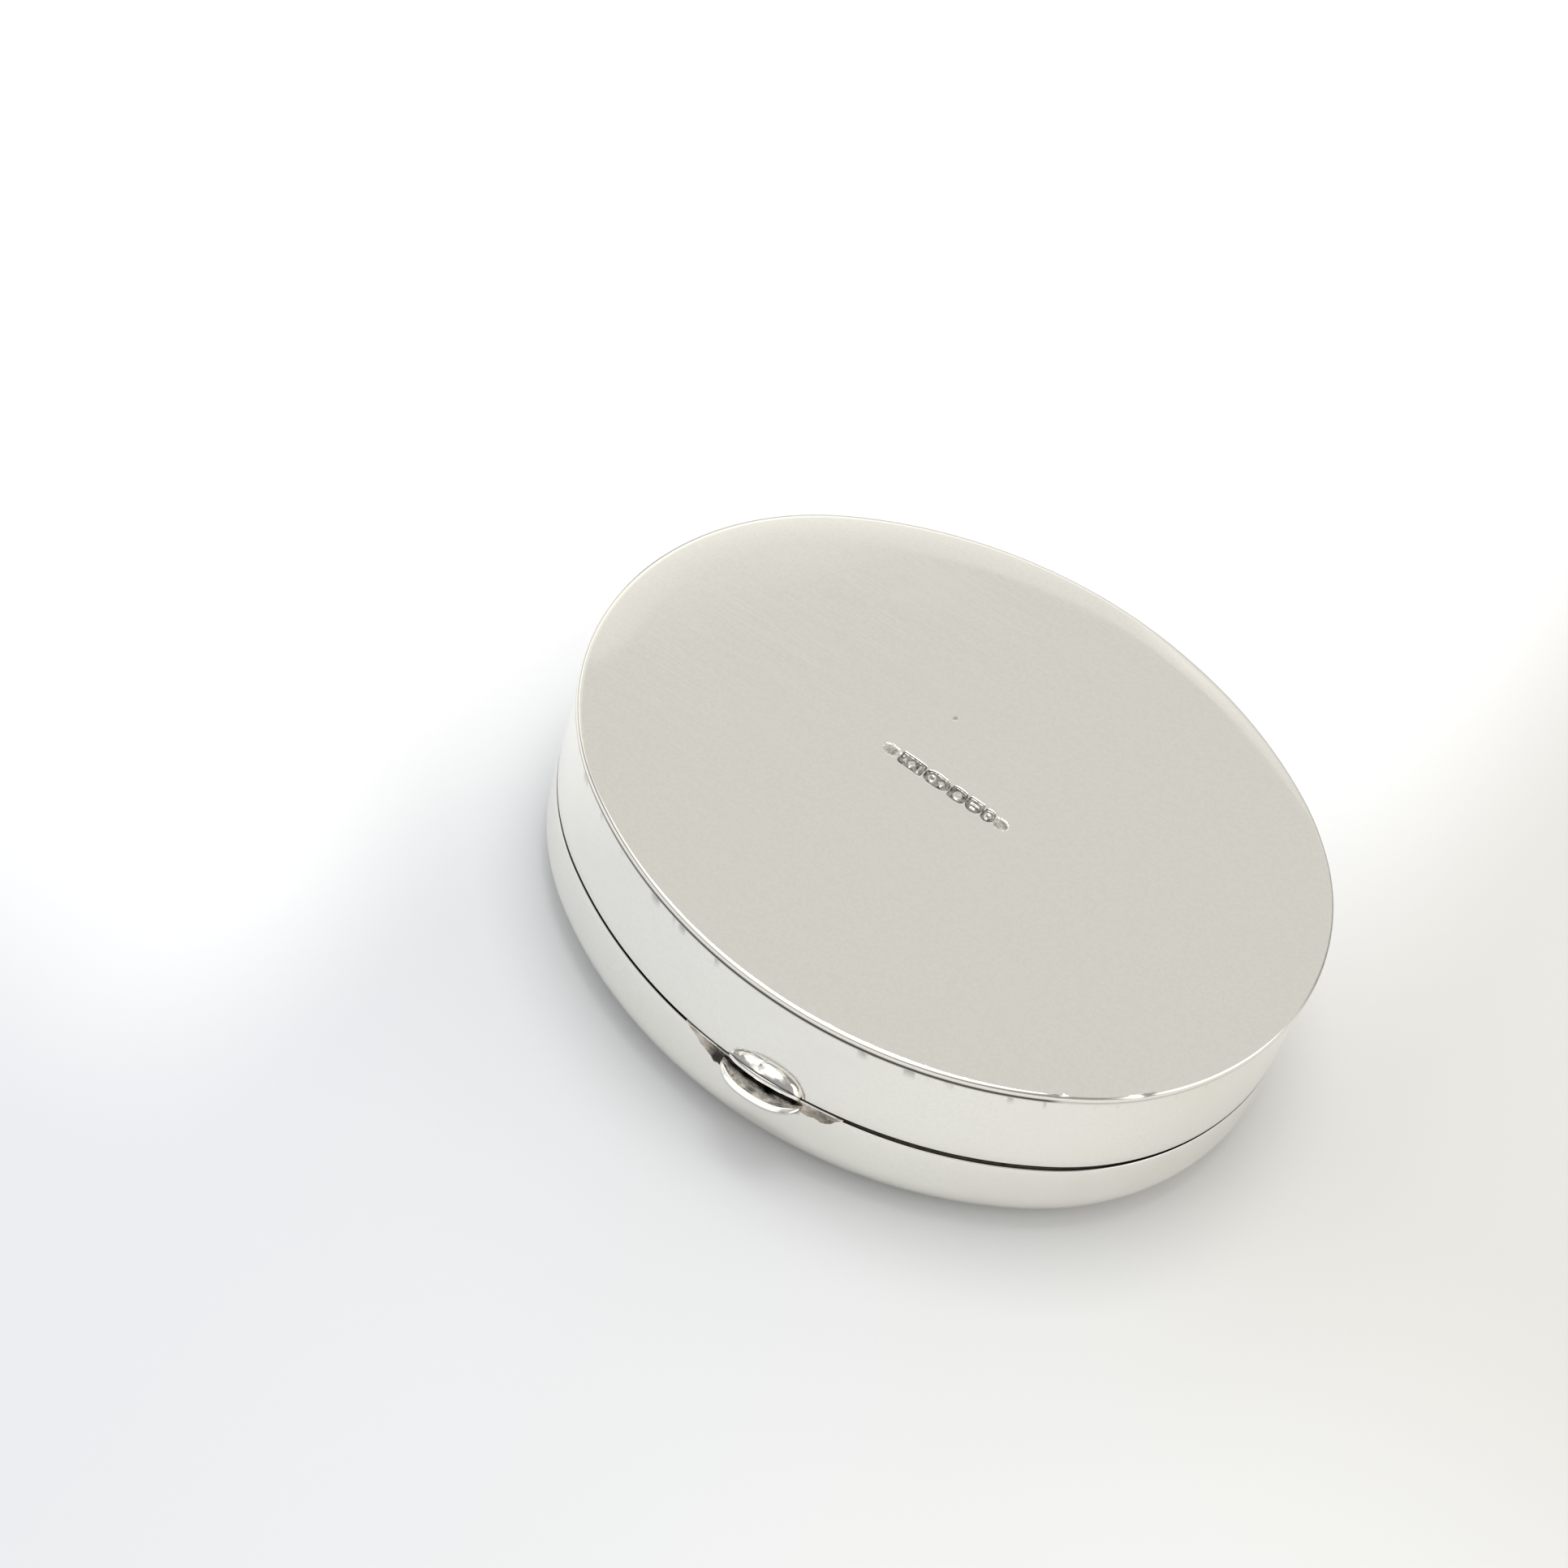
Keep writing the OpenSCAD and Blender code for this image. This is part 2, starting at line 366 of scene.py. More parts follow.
def silver(name, tint=SILVER_TINT, haze=0.25, rough=(0.07, 0.15), grain=0.0003):
    """Silver sheet: patchy haze, a fine grain, hairline scratches, painted shade in black and tarnish in
    brown where wear_and_shade says so.
    """
    n = Nodes(name)
    dark, brown, polish = n.wear_and_shade()[:3]
    n.link(n.ramp(brown, 0.0, 1.0, 1.0, BROWN_METALLIC), n.shader.inputs["Metallic"])
    patches = n.ramp(n.noise(6.0, 4.0, 0.6), 0.42, 0.72)
    specks = n.ramp(n.noise(0.45, 2.0, 0.5), 0.68, 0.80)
    mottle = n.maths("MULTIPLY", n.ramp(n.noise(0.22, 3.0, 0.7), 0.35, 0.65), 0.5)
    dull = n.maths("MULTIPLY", n.maths("MAXIMUM", patches, n.maths("MULTIPLY", specks, 0.7)), haze)
    dull = n.maths("MAXIMUM", dull, n.maths("MULTIPLY", mottle, MOTTLING))
    clean = n.mix(dull, tint, SILVER_STAIN)
    blotch = n.mix(n.ramp(n.noise(0.35, 3.0, 0.6), 0.38, 0.56), BROWN, PALE_BROWN)
    browned = n.mix(brown, clean, blotch)
    # the dark share paints the silver black: mostly painted shade
    n.link(n.mix(dark, browned, BLACK), n.shader.inputs["Base Color"])
    hairs = None
    for angle in HAIR_TURNS:
        hair = n.ramp(n.noise(0.10, 1.0, 0.4, stretch=(0.012, 1, 1), turn=(0, 0, angle)), 0.64, 0.72)
        hairs = hair if hairs is None else n.maths("MAXIMUM", hairs, hair)
    worn = n.maths("ADD", n.maths("MULTIPLY", patches, 0.6), n.maths("MULTIPLY", hairs, 0.4))
    worn = n.maths("SUBTRACT", n.maths("ADD", worn, n.maths("MULTIPLY", dark, 1.2)), polish)
    tarnish = n.maths("MULTIPLY", brown, BROWN_ROUGHNESS)
    n.link(n.maths("ADD", n.ramp(worn, 0.0, 1.0, *rough), tarnish), n.shader.inputs["Roughness"])
    peel = n.bump(n.noise(PEEL_SIZE, 3.0, 0.5), PEEL_DEPTH)
    fine = n.bump(n.noise(GRAIN_SIZE, 2.0, 0.6), grain, peel)
    n.link(n.bump(hairs, -HAIR_DEPTH, fine), n.shader.inputs["Normal"])
    return n.material


SOLDER_BARE = (0.88, 0.87, 0.83)
SOLDER_DARK, SOLDER_LIGHT = (0.30, 0.24, 0.17), (0.60, 0.52, 0.43)
SOLDER_SPOT = (0.84, 0.80, 0.74)
SOLDER_METALLIC = 0.75
SOLDER_PITS = 0.008


def tarnished(name):
    """Solder: brown and grey tarnish with lighter worn spots, darker where wear_and_shade says so."""
    n = Nodes(name)
    n.shader.inputs["Metallic"].default_value = SOLDER_METALLIC
    dark, brown, _ = n.wear_and_shade()[:3]
    blotch = n.ramp(n.noise(0.8, 4.0, 0.65), 0.35, 0.68)
    streak = n.ramp(n.noise(0.35, 3.0, 0.6, stretch=(0.5, 1, 1)), 0.42, 0.62)
    browned = n.mix(blotch, SOLDER_DARK, SOLDER_LIGHT)
    spotted = n.mix(n.maths("MULTIPLY", streak, 0.5), browned, SOLDER_SPOT)
    base = n.mix(brown, SOLDER_BARE, spotted)
    n.link(n.mix(dark, base, BLACK), n.shader.inputs["Base Color"])
    n.link(n.ramp(blotch, 0.0, 1.0, 0.45, 0.28), n.shader.inputs["Roughness"])
    n.link(n.bump(n.noise(0.18, 4.0, 0.6), SOLDER_PITS), n.shader.inputs["Normal"])
    return n.material


PLATE = silver("plate_silver", tint=(0.895, 0.870, 0.800), haze=0.08, rough=(0.05, 0.12))
WALL = silver("body_silver", haze=0.20)
LID = silver("lid_silver", haze=0.22)
# The thumb-piece's paler tint is painted brightness that lifts its facets over the other silver.
THUMB = silver("thumb_silver", tint=(0.95, 0.94, 0.90), haze=0.30, rough=(0.06, 0.18))
INSIDE = silver("inside_silver", haze=0.35, rough=(0.30, 0.45), grain=0.0015)
HINGE = silver("hinge_silver", haze=0.35, rough=(0.18, 0.34))
PIN = silver("pin_metal", tint=(0.72, 0.72, 0.73), haze=0.3, rough=(0.22, 0.40))
SOLDER = tarnished("solder")

# ---- the lid ----

LID_EDGE_STEPS, DOME_STEPS, BAND_STEPS, CORNER_STEPS = 24, 10, 8, 4
FLAT_RINGS, FLAT_RING_WIDTH = 2, 3.0


def lid_surface(inset):
    """The lid's section from the seam side down to the middle, drawn in by inset."""
    centre = (-LID_EDGE_RADIUS, LID_EDGE_DROP)
    run = DOME_WIDTH - LID_EDGE_RADIUS
    dome = (run ** 2 + LID_EDGE_DROP ** 2 - LID_EDGE_RADIUS ** 2) / (2 * (LID_EDGE_DROP - LID_EDGE_RADIUS))
    tilt = math.degrees(math.asin(run / (dome - LID_EDGE_RADIUS)))
    down = arc(centre, LID_EDGE_RADIUS - inset, 0, tilt - 90, LID_EDGE_STEPS)
    across = arc((-DOME_WIDTH, dome), dome - inset, tilt - 90, -90, DOME_STEPS)[1:]
    flat = [(-DOME_WIDTH - i * FLAT_RING_WIDTH, inset) for i in range(1, FLAT_RINGS + 1)]
    return down + across + flat


LID_OUTSIDE = lid_surface(0.0)
LID_INSIDE = lid_surface(LID_THICKNESS)


def lid_section(edge_z):
    """The closed section of the lid: seam edge, outside and inside."""
    r, t = EDGE_ROUND, LID_THICKNESS
    edge_in = arc((-t + r, edge_z - r), r, 180, 90, CORNER_STEPS)
    edge_out = arc((-r, edge_z - r), r, 90, 0, CORNER_STEPS)
    band_out = line(edge_out[-1], LID_OUTSIDE[0], BAND_STEPS)
    band_in = line(LID_INSIDE[0], edge_in[0], BAND_STEPS)
    return edge_in + edge_out + band_out + LID_OUTSIDE + LID_INSIDE[::-1] + band_in


# The seam edge's rounding, its gap and the faces behind it are painted dark as their shade.
SEAM_SHADE = 0.9
INSIDE_SHADE = 0.35  # painted shade just inside the seam, fading with depth


def seam_painted_shade(sections, edge_z, body_side):
    """Painted shade just at the seam edge of a wall, in its gap, and on what is behind it."""
    wear_and_shade = []
    for _, section in sections:
        for out, z in section:
            height = (z - edge_z) if body_side else (edge_z - z)
            dark = SEAM_SHADE * smooth(0.15, 0.08, height) * smooth(0.0, 0.03, -out)
            if out < -EDGE_ROUND * 1.5:
                dark = max(dark, INSIDE_SHADE * (1 - smooth(0.0, 1.5, height)))
            wear_and_shade.append((dark, 0.0, 0.0))
    return wear_and_shade


def build_lid():
    inside, outside = notched_angles(RING_POINTS)
    sections = [(a, lid_section(SEAM - NOTCH_HEIGHT)) for a in inside]
    sections += [(a, lid_section(LID_HIGH.z - gap_opening(a) / 2)) for a in outside]
    points = swept(sections, UNEVEN)
    rings, size = len(sections), len(sections[0][1])
    last = size - BAND_STEPS - len(LID_INSIDE)
    # the two innermost rings are closed by one flat face each, not joined to each other
    faces = [f for f in ring_faces(rings, size) if f[0] % size != last]
    faces.append(tuple(i * size + last for i in range(rings)))
    faces.append(tuple(i * size + last + 1 for i in reversed(range(rings))))
    wear_and_shade = seam_painted_shade(sections, LID_HIGH.z, False)
    new_piece("lid_shell_mesh", points, faces, "lid", ["lid_shell"], LID, wear_and_shade)


# ---- the body ----

WALL_STEPS = 10
WALL_TOP_ROWS = (0, 0.1, 0.18, 0.24, 0.3, 0.38)  # under the plate, close enough for the line of painted shade there


def wall_section(low):
    """The closed section of the body's wall, from the plate down to the seam edge at low."""
    high, r, t = WALL_HIGH.z, EDGE_ROUND, WALL_THICKNESS
    edge_out = arc((-r, low + r), r, 0, -90, CORNER_STEPS)
    edge_in = arc((-t + r, low + r), r, 270, 180, CORNER_STEPS)
    band_out = [(0, high - drop) for drop in WALL_TOP_ROWS]
    band_out += line(band_out[-1], edge_out[0], WALL_STEPS)
    band_in = line(edge_in[-1], (-t, high), WALL_STEPS) + [(-t, high)]
    return band_out + edge_out + edge_in + band_in


def build_wall():
    inside, outside = notched_angles(RING_POINTS)
    sections = [(a, wall_section(SEAM + NOTCH_HEIGHT)) for a in inside]
    sections += [(a, wall_section(WALL_LOW.z + gap_opening(a) / 2)) for a in outside]
    points = swept(sections, UNEVEN)
    wear_and_shade = seam_painted_shade(sections, WALL_LOW.z, True)
    size = len(sections[0][1])
    for i, (x, y, z) in enumerate(points):
        turn = math.degrees(sections[i // size][0]) % 360
        drop = WALL_HIGH.z - z
        # The top of the wall, under the plate's overhang, is painted dark as its shade, with random dark
        # specks just below it.
        specks = smooth(0.35, 0.6, rough_noise(x, y, z * 2, 0.7)) * smooth(0.6, 0.3, drop)
        dark = overhang_shade(turn) * max(0.95 * smooth(0.34, 0.22, drop), 0.5 * specks)
        wear_and_shade[i] = (max(wear_and_shade[i][0], dark), wear_and_shade[i][1], 0.0)
    faces = ring_faces(len(sections), size)
    new_piece("body_wall_mesh", points, faces, "box_body", ["body_wall"], WALL, wear_and_shade)


RIM_THICKNESS = 0.35
RIM_ROUND = 0.08
RIM_LEAD = 0.05  # how far its lower edge leans in, to find the lid
RIM_STEPS = 6
RIM_CLEARANCE = 0.9  # from each end of the hinge notch


def build_inner_rim():
    """The rim that enters the lid. It stops short of the hinge on both sides."""
    gap = math.asin((NOTCH_HALF + RIM_CLEARANCE) / (OVAL.side_radius - 1))
    outer, inner = -WALL_THICKNESS, -WALL_THICKNESS - RIM_THICKNESS
    low, high, r = RIM_LOW.z, RIM_HIGH.z, RIM_ROUND
    edge_out = arc((outer - RIM_LEAD - r, low + r), r, 0, -90, CORNER_STEPS)
    edge_in = arc((inner + r, low + r), r, 270, 180, CORNER_STEPS)
    lead = (outer, low + 3 * r)
    section = [(outer, high)] + line((outer, high), lead, RIM_STEPS) + [lead] + edge_out + edge_in
    section += line(edge_in[-1], (inner, high), RIM_STEPS) + [(inner, high)]
    start, stop = math.pi / 2 + gap, math.pi / 2 - gap + 2 * math.pi
    angles = OVAL.angles(RING_POINTS, start, stop) + [stop]
    points = swept([(a, section) for a in angles])
    wear_and_shade = []
    for i, (_, _, z) in enumerate(points):
        out = section[i % len(section)][0]
        # The rim's outer face near the seam, seen through the gap, is painted dark as shade.
        seam_gap_shade = smooth(0.6, 0.1, abs(z - SEAM)) * smooth(outer - 0.2, outer - 0.1, out)
        wear_and_shade.append((0.95 * seam_gap_shade, 0.1, 0.0))
    faces = capped(len(angles), len(section))
    new_piece("inner_rim_mesh", points, faces, "box_body", ["inner_rim"], INSIDE, wear_and_shade)


# ---- the plate and its struck marks ----

PLATE_ROUND = 0.2
CROWN_TURN, CROWN_STEPS = 70, 8  # how far round the edge's arc goes, in degrees
DENTS = [(304.0, 0.6, 0.05), (318.5, 2.0, 0.10)]  # where round the rim, half width in degrees, depth
DENT_DROP = 0.5  # how far a dent goes down, to how far it goes in
ROLL_WIDTH, ROLL_SLOPE = 2.4, 0.05
CORNER_WIDTH, CORNER_SLOPE = 1.5, 0.13
WAVE_HEIGHT, WAVE_SIZE = 0.006, 11.0
PIT_PLACE, PIT_RADIUS, PIT_DEPTH = (-2.82, 4.58), 0.17, 0.012
PIT_SIDES = 20
PIT_RINGS = ((1.3, 0.0, 0.0), (1.0, 0.0, 0.05), (0.8, 0.5, 0.25), (0.4, 1.0, 0.45))  # radius, depth, dark
MARKS_PLACE = (-0.73, -0.08)
MARKS_TILT = math.radians(-3.2)
MARKS_REACH = (5.0, 1.0)
MARKS_STEP = 0.04
MARK_DEPTH = 0.07
MARK_NEAR = 0.25  # beyond this distance a mark leaves the face alone
WEAK = 0.4  # how deep the two brown end marks are, to the others
BURR, BURR_PLACE, BURR_WIDTH = 0.012, 0.05, 0.03
FIELD_OUT = -13.0  # the innermost ring of the face, round the field that holds the marks
RIM_ROWS, FIELD_ROWS = 12, 8
FACE = TOP - BURR


def plate_face(x, y, out):
    """Height of the face: hand-finished, rolling off at the back, and worn at the far right edge."""
    roll = max(0.0, ROLL_WIDTH + out - OVERHANG)
    back = smooth(-7.0, -1.0, y - 0.75 * max(0.0, x))
    wave = WAVE_HEIGHT * noise.noise(Vector((x, y, 3.0)) / WAVE_SIZE)
    corner = max(0.0, CORNER_WIDTH + out - OVERHANG)
    worn = smooth(-1.0, 7.0, x) * smooth(7.0, 12.0, y) * corner * corner * CORNER_SLOPE / (2 * CORNER_WIDTH)
    return FACE - back * roll * roll * ROLL_SLOPE / (2 * ROLL_WIDTH) - worn - abs(wave)


def oval_distance(u, v, half_w, half_h, power=2.0):
    """About how far (u, v) is outside a rounded outline, from a soft oval (2) to a block (8)."""
    size = (abs(u / half_w) ** power + abs(v / half_h) ** power) ** (1 / power)
    return (size - 1) * min(half_w, half_h)


def shield_distance(u, v, half_w, half_h):
    """A block with a rounded foot."""
    foot = oval_distance(u, v, half_w, half_h, 2.2)
    return foot if v < 0 else oval_distance(u, v, half_w, half_h, 7.0)


def wedge_distance(u, v, half_w, half_h, taper):
    """A soft oval that is taller at one end."""
    return oval_distance(u, v, half_w, half_h + taper * clamp(u, -half_w, half_w), 2.2)


def bar(u, v, half_w, half_h):
    """About how far (u, v) is outside a bar."""
    return max(abs(u) - half_w, abs(v) - half_h)


def lozenge(u, v, half_w, half_h):
    """About how far (u, v) is outside a lozenge."""
    return (abs(u) / half_w + abs(v) / half_h - 1) * min(half_w, half_h)


def ring(u, v, radius, half):
    """How far (u, v) is outside a ring that is twice half wide."""
    return abs(math.hypot(u, v) - radius) - half


# each mark: place along the row, its outline, the plain relief left standing in it, and how brown it is
MARKS = [
    (-3.66, lambda u, v: wedge_distance(u, v, 0.60, 0.36, -0.20), lambda u, v: 1.0, 1.0),
    (-2.34, lambda u, v: oval_distance(u, v, 0.80, 0.45, 8), lambda u, v: min(
        lozenge(u, v, 0.26, 0.30), bar(u - 0.50, v, 0.06, 0.26), bar(u + 0.45, v, 0.09, 0.10)), 0.0),
    (-0.64, lambda u, v: oval_distance(u, v, 0.82, 0.48, 2.5), lambda u, v: min(
        ring(u + 0.30, v, 0.20, 0.06), lozenge(u - 0.35, v, 0.24, 0.22)), 0.0),
    (0.80, lambda u, v: oval_distance(u, v, 0.54, 0.48, 4), lambda u, v: oval_distance(
        u, v, 0.27, 0.30), 0.0),
    (1.92, lambda u, v: shield_distance(u, v, 0.52, 0.47), lambda u, v: min(
        bar(u, v - 0.15, 0.30, 0.05), bar(u, v + 0.12, 0.18, 0.05)), 0.1),
    (2.88, lambda u, v: oval_distance(u, v, 0.40, 0.44, 2.6), lambda u, v: ring(u, v, 0.17, 0.05), 0.15),
    (3.72, lambda u, v: wedge_distance(u, v, 0.50, 0.36, -0.10), lambda u, v: 1.0, 0.9),
]


def struck(u, v):
    """Height over the plate's face in the row of struck marks, and the wear there."""
    height, dark, brown = 0.0, 0.0, 0.0
    lump = rough_noise(u, v, 7.0, 0.30)
    grit = rough_noise(u, v, 17.0, 0.12)
    for place, outline, relief, browned in MARKS:
        d = outline(u - place, v) + 0.025 * lump + (0.10 * grit if browned > 0.5 else 0.01 * grit)
        if d > MARK_NEAR:
            continue
        sunk = smooth(0.03, -0.05, d)
        standing = smooth(0.02, -0.03, relief(u - place, v) + 0.02 * lump)
        floor = mix(-MARK_DEPTH, -0.25 * MARK_DEPTH, standing) + 0.010 * grit
        weak = WEAK if browned > 0.5 else 1.0
        burr = BURR * math.exp(-((d - BURR_PLACE) / BURR_WIDTH) ** 2) * clamp(0.8 * lump - 0.1)
        height += weak * (floor * sunk + burr)
        wall = math.exp(-(min(0.0, d) / 0.07) ** 2)
        inner = (0.55 + 0.35 * clamp(lump + 0.3) + 0.15 * grit) * (1 - 0.7 * standing)
        rim_dark = smooth(0.035, -0.005, d) * (0.95 + 0.3 * lump) * wall
        if browned > 0.5:
            dark = max(dark, sunk * clamp(0.50 + 0.30 * lump + 0.15 * grit))
        else:
            dark = max(dark, sunk * inner, rim_dark)
        brown = max(brown, sunk * (0.10 + 0.70 * browned * clamp(0.7 + 0.5 * lump)))
    return min(height, BURR), clamp(dark), clamp(brown)


def overhang_shade(turn):
    """How dark the painted shade under the plate's overhang is: darkest along the left of the front."""
    return 0.25 + 0.75 * smooth(185, 205, turn) * smooth(305, 303, turn)


def plate_rings():
    """The plate's edge and the face round the marks: points, wear, faces, and the innermost ring."""
    r, low = PLATE_ROUND, PLATE_LOW.z
    start = OVERHANG - r * 0.9
    outs = [mix(start, OVERHANG - ROLL_WIDTH, i / RIM_ROWS) for i in range(RIM_ROWS + 1)]
    outs += [mix(outs[-1], FIELD_OUT, i / FIELD_ROWS) for i in range(1, FIELD_ROWS + 1)]
    foot = [(OVERHANG - 0.03, low), (OVERHANG, low + 0.03), (OVERHANG, low + 0.08), (OVERHANG, low + 0.12)]
    crown = arc((OVERHANG - r, -r), r, 0, CROWN_TURN, CROWN_STEPS)
    angles = OVAL.angles(RING_POINTS)
    points, wear_and_shade = [], []
    for angle in angles:
        turn = math.degrees(angle) % 360
        dent = sum(deep * math.exp(-((turn - at) / half) ** 2) for at, half, deep in DENTS)
        rim_top = plate_face(*OVAL.at(angle, start), start)
        for out, z in foot + [(out, rim_top + drop) for out, drop in crown]:
            share = smooth(low + 0.1, rim_top, z)
            points.append((*OVAL.at(angle, out - dent * share), z - DENT_DROP * dent * share))
        for out in outs:
            x, y = OVAL.at(angle, out)
            points.append((x, y, plate_face(x, y, out)))
    size, rings = len(foot) + len(crown) + len(outs), len(angles)
    for i, (_, _, z) in enumerate(points):
        turn = math.degrees(angles[i // size]) % 360
        # The plate's foot, under its overhang, is painted dark as shade.
        dark = 0.9 * overhang_shade(turn) * smooth(0.14, 0.06, z - low)
        # On the far side the plate's edge and most of its rounding are painted dark, a painted dark
        # reflection.
        if i % size < len(foot) + len(crown):
            far_side = smooth(-0.1, 0.2, math.sin(angles[i // size]))
            last = len(foot) + CROWN_STEPS
            dark = max(dark, 0.55 * far_side * smooth(last + 0.5, last - 1.5, i % size))
        wear_and_shade.append((dark, 0.4 * dark, 0.0))
    faces = ring_faces(rings, size, closed_section=False)
    faces.append(tuple(i * size for i in range(rings)))
    return points, wear_and_shade, faces, [i * size + size - 1 for i in range(rings)]


def marks_grid(first):
    """The row of marks as a fine grid numbered from first: points, wear, faces and border."""
    columns, rows = (round(2 * reach / MARKS_STEP) + 1 for reach in MARKS_REACH)
    points, wear_and_shade, faces = [], [], []
    for j in range(rows):
        for i in range(columns):
            u, v = -MARKS_REACH[0] + i * MARKS_STEP, -MARKS_REACH[1] + j * MARKS_STEP
            x = MARKS_PLACE[0] + u * math.cos(MARKS_TILT) - v * math.sin(MARKS_TILT)
            y = MARKS_PLACE[1] + u * math.sin(MARKS_TILT) + v * math.cos(MARKS_TILT)
            height, dark, brown = struck(u, v)
            points.append((x, y, plate_face(x, y, FIELD_OUT) + height))
            wear_and_shade.append((dark, brown, 0.0))
    for j in range(rows - 1):
        for i in range(columns - 1):
            k = first + j * columns + i
            faces.append((k, k + 1, k + columns + 1, k + columns))
    border = [first + i for i in range(columns)]
    border += [first + j * columns + columns - 1 for j in range(1, rows)]
    border += [first + (rows - 1) * columns + i for i in reversed(range(columns - 1))]
    border += [first + j * columns for j in reversed(range(1, rows - 1))]
    return points, wear_and_shade, faces, border


def pit_rings(first):
    """One small pit apart from the marks, numbered from first: points, wear, faces and border."""
    points, wear_and_shade, faces = [], [], []
    for reach, deep, dark in PIT_RINGS:
        for i in range(PIT_SIDES):
            turn = 2 * math.pi * i / PIT_SIDES
            uneven = 0.3 * noise.noise(Vector((math.cos(turn), math.sin(turn), 6.0)))
            radius = PIT_RADIUS * reach * (1 + uneven)
            x, y = PIT_PLACE[0] + radius * math.cos(turn), PIT_PLACE[1] + 1.2 * radius * math.sin(turn)
            points.append((x, y, plate_face(x, y, FIELD_OUT) - deep * PIT_DEPTH))
            wear_and_shade.append((dark, 0.3 * dark, 0.0))
    last = first + (len(PIT_RINGS) - 1) * PIT_SIDES
    for k in range(first, last, PIT_SIDES):
        for i in range(PIT_SIDES):
            m = (i + 1) % PIT_SIDES
            faces.append((k + i, k + m, k + PIT_SIDES + m, k + PIT_SIDES + i))
    faces.append(tuple(last + i for i in range(PIT_SIDES)))
    return points, wear_and_shade, faces, [first + i for i in range(PIT_SIDES)]


def field_faces(points, borders, grid_first, pit_first):
    """Triangles that join the borders to each other, without those inside the grid or the pit."""
    loop, edges = [], []
    for border in borders:
        edges += [(len(loop) + i, len(loop) + (i + 1) % len(border)) for i in range(len(border))]
        loop += border
    coords = [Vector(points[i][:2]) for i in loop]
    solved = delaunay_2d_cdt(coords, edges, [], 1, 1e-7)
    back = {i: loop[old[0]] for i, old in enumerate(solved[3])}
    faces = []
    for face in solved[2]:
        corners = tuple(back[i] for i in face)
        in_grid = all(grid_first <= k < pit_first for k in corners)
        in_pit = all(k >= pit_first for k in corners)
        if not in_grid and not in_pit:
            faces.append(corners)
    return faces


def build_plate():
    points, wear_and_shade, faces, inner = plate_rings()
    borders, firsts = [inner], []
    for make in (marks_grid, pit_rings):
        firsts.append(len(points))
        more_points, more_wear_and_shade, more_faces, border = make(len(points))
        points += more_points
        wear_and_shade += more_wear_and_shade
        faces += more_faces
        borders.append(border)
    faces += field_faces(points, borders, *firsts)
    new_piece("base_plate_mesh", points, faces, "box_body", ["base_plate"], PLATE, wear_and_shade, 50)


# ---- the thumb-piece ----

THUMB_MIDDLE = (LUG_LOW.x + LUG_HIGH.x) / 2
LUG_HALF = (LUG_HIGH.x - LUG_LOW.x) / 2
LUG_TOP = LUG_HIGH.z - SEAM
LUG_REACH = abs(LUG_LOW.y) - WALL_HIGH.y
SHELF_HALF = (SHELF_HIGH.x - SHELF_LOW.x) / 2
SHELF_REACH = abs(SHELF_LOW.y) - WALL_HIGH.y
BURIED = -0.12  # how deep both halves go into the wall
LUG_SPLIT = -0.12  # where the notch between the lug's two facets is, from -1 to 1
THUMB_ENDS = 0.995  # the end slices stop just short, so that they keep some area
THUMB_POLISH = 0.6


def lug_section(t):
    """The body's lug at t, from -1 to 1 along it: two pillowed facets, a crease and a bright front strip.

    Each point is (out, z over the seam, dark, brown); dark is painted shade in the notch, the crease and
    its groove, where the lug meets the wall, and underneath.
    """
    round_plan = math.sqrt(max(0.0, 1 - t * t))
    tip = 0.31 - 0.12 * t
    top = mix(tip, LUG_TOP, max(0.0, 1 - abs(t) ** 2.3) ** 0.6)
    front = 0.05 + (LUG_REACH - 0.05) * round_plan ** 0.8
    crease = mix(tip - 0.03, 0.93, round_plan ** 0.8)
    notch = 0.09 * math.exp(-((t - LUG_SPLIT) / 0.05) ** 2)
    along = (t + 1) / (LUG_SPLIT + 1) if t < LUG_SPLIT else (1 - t) / (1 - LUG_SPLIT)
    pillow = (0.04 + 0.06 * math.sin(math.pi * clamp(along))) * round_plan
    facets = []
    for i in range(11):
        share = i / 10
        swell = math.sin(math.pi * share)
        out = mix(-0.02, front * 0.80, share)
        z = mix(top, crease, share ** 1.15) + (pillow - notch) * swell
        lump = 0.035 * rough_noise(t * 2.3, share, 1.0, 0.35) * swell
        # dark: painted shade in the notch between the facets, along the crease, and where the lug meets the
        # wall
        dark = 0.5 * smooth(0.04, 0.08, notch * swell) + 0.9 * smooth(0.90, 0.98, share)
        dark = clamp(max(dark, 0.75 * smooth(0.12, 0.04, share)))
        stained = smooth(0.3, 0.9, noise.noise(Vector((t * 3, share * 2, 5))) + 0.5)
        facets.append((out, z + lump, dark, 0.2 * stained))
    strip = mix(tip - 0.12, 0.54, round_plan ** 0.6)
    # painted shade in the groove under the crease and at the foot of the front strip
    groove = [(front * 0.80, crease - 0.07, 1.0, 0.3)]
    nose = [(front * 0.84, crease - 0.04, 0.1, 0.0), (front * 0.90, crease - 0.08, 0.0, 0.0),
            (front * 0.97, crease - 0.16, 0.0, 0.0), (front, crease - 0.24, 0.0, 0.0),
            (front, mix(crease - 0.24, strip, 0.7), 0.0, 0.0), (front * 0.96, strip, 0.7, 0.2)]
    # the underside is painted black, as the shade between the two halves
    under = [(front * 0.6, strip - 0.03, 1.0, 0.4), (0.03, strip - 0.10, 1.0, 0.4),
             (BURIED, strip - 0.12, 1.0, 0.4)]
    back = [(BURIED, mix(strip, top, 0.5), 0.0, 0.0), (BURIED, top - 0.02, 0.0, 0.0)]
    return facets + groove + nose + under + back


